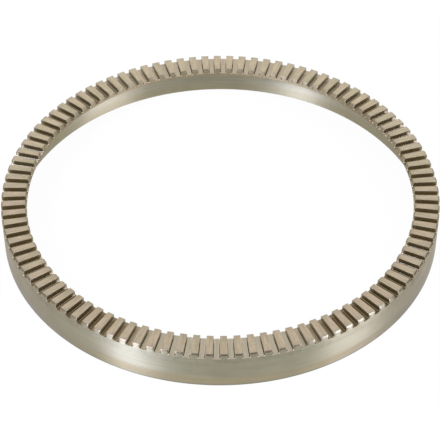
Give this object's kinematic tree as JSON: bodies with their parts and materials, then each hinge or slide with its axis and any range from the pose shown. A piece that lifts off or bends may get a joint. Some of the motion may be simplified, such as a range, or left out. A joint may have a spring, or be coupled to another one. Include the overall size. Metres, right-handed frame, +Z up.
{
  "type": "anti-lock brake sensor ring",
  "caption": "Steel wheel-speed sensor ring of L-shaped section: a thin press-fit skirt under an inward flange whose top face is milled into square radial teeth.",
  "frame": {"origin": "centre of the ring on the plane of its bottom rim, which it rests on", "axes": "+Z up the ring's axis towards the teeth; +X through the middle of a tooth"},
  "size_m": [0.175, 0.175, 0.0169],
  "materials": {
    "ring_steel": "bare steel with a thin olive-grey passivated film, turned all round, with milled slots"
  },
  "bodies": {
    "root": {"sensor_ring": "ring_steel"}
  },
  "joints": []
}
